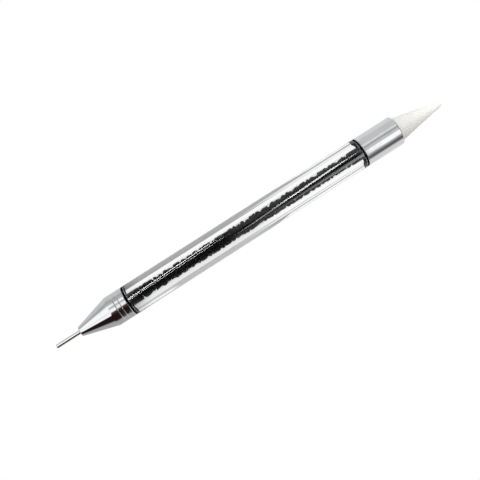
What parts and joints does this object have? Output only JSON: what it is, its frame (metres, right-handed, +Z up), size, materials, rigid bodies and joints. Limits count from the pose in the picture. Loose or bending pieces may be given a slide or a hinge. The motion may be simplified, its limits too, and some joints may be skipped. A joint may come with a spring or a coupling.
{
  "type": "rhinestone picker",
  "caption": "Slim dual-ended nail-art pen: a wax tip for picking up rhinestones, a fixed steel dotting pin, and a clear round handle filled with black stones.",
  "frame": {"origin": "centre of the bounding box at its bottom, under the middle of the pen where it lies on a table", "axes": "+X along the pen towards the wax tip, +Z up from the flat facet that it lies on, +Y across"},
  "size_m": [0.1298, 0.009, 0.009],
  "materials": {
    "clear_acrylic": "clear, polished",
    "black_plastic": "moulded, satin",
    "black_rubber": "smooth",
    "chrome": "bright plated",
    "steel": "drawn wire, polished",
    "pale_wax": "translucent, waxy",
    "black_stone": "faceted, glossy"
  },
  "bodies": {
    "handle": {"acrylic_tube": "clear_acrylic", "front_insert": "black_plastic", "rear_insert": "black_plastic", "rhinestones_01": "black_stone", "rhinestones_02": "black_stone", "rhinestones_03": "black_stone", "rhinestones_04": "black_stone", "rhinestones_05": "black_stone", "rhinestones_06": "black_stone", "rhinestones_07": "black_stone", "rhinestones_08": "black_stone", "rhinestones_09": "black_stone", "rhinestones_10": "black_stone", "rhinestones_11": "black_stone", "rhinestones_12": "black_stone", "rhinestones_13": "black_stone", "rhinestones_14": "black_stone", "rhinestones_15": "black_stone", "rhinestones_16": "black_stone", "rhinestones_17": "black_stone", "rhinestones_18": "black_stone", "rhinestones_19": "black_stone", "rhinestones_20": "black_stone", "rhinestones_21": "black_stone", "rhinestones_22": "black_stone", "rhinestones_23": "black_stone", "rhinestones_24": "black_stone", "rhinestones_25": "black_stone", "rhinestones_26": "black_stone", "rhinestones_27": "black_stone", "rhinestones_28": "black_stone", "rhinestones_29": "black_stone", "rhinestones_30": "black_stone"},
    "front_gasket": {"front_gasket": "black_rubber"},
    "nose": {"nose_cone": "chrome", "dotting_pin": "steel"},
    "rear_gasket": {"rear_gasket": "black_rubber"},
    "ferrule": {"ferrule": "chrome"},
    "wax_tip": {"wax_tip": "pale_wax"}
  },
  "joints": [
    {"name": "nose_backs_off", "type": "slide", "parent": "handle", "child": "front_gasket", "axis": [-1, 0, 0], "range_m": [0, 0.00275]},
    {"name": "nose_unscrews", "type": "hinge", "parent": "front_gasket", "child": "nose", "pos_m": [-0.0411, 0, 0.00448], "axis": [-1, 0, 0], "range_deg": [0, 1980]},
    {"name": "ferrule_backs_off", "type": "slide", "parent": "handle", "child": "rear_gasket", "axis": [1, 0, 0], "range_m": [0, 0.00275]},
    {"name": "ferrule_unscrews", "type": "hinge", "parent": "rear_gasket", "child": "ferrule", "pos_m": [0.0376, 0, 0.00448], "axis": [1, 0, 0], "range_deg": [0, 1980]},
    {"name": "wax_pulls_out", "type": "slide", "parent": "ferrule", "child": "wax_tip", "axis": [1, 0, 0], "range_m": [0, 0.0065]}
  ],
  "couplings": [
    {"joint": "nose_unscrews", "follows": "nose_backs_off", "rad_per_m": 12566},
    {"joint": "ferrule_unscrews", "follows": "ferrule_backs_off", "rad_per_m": 12566}
  ]
}
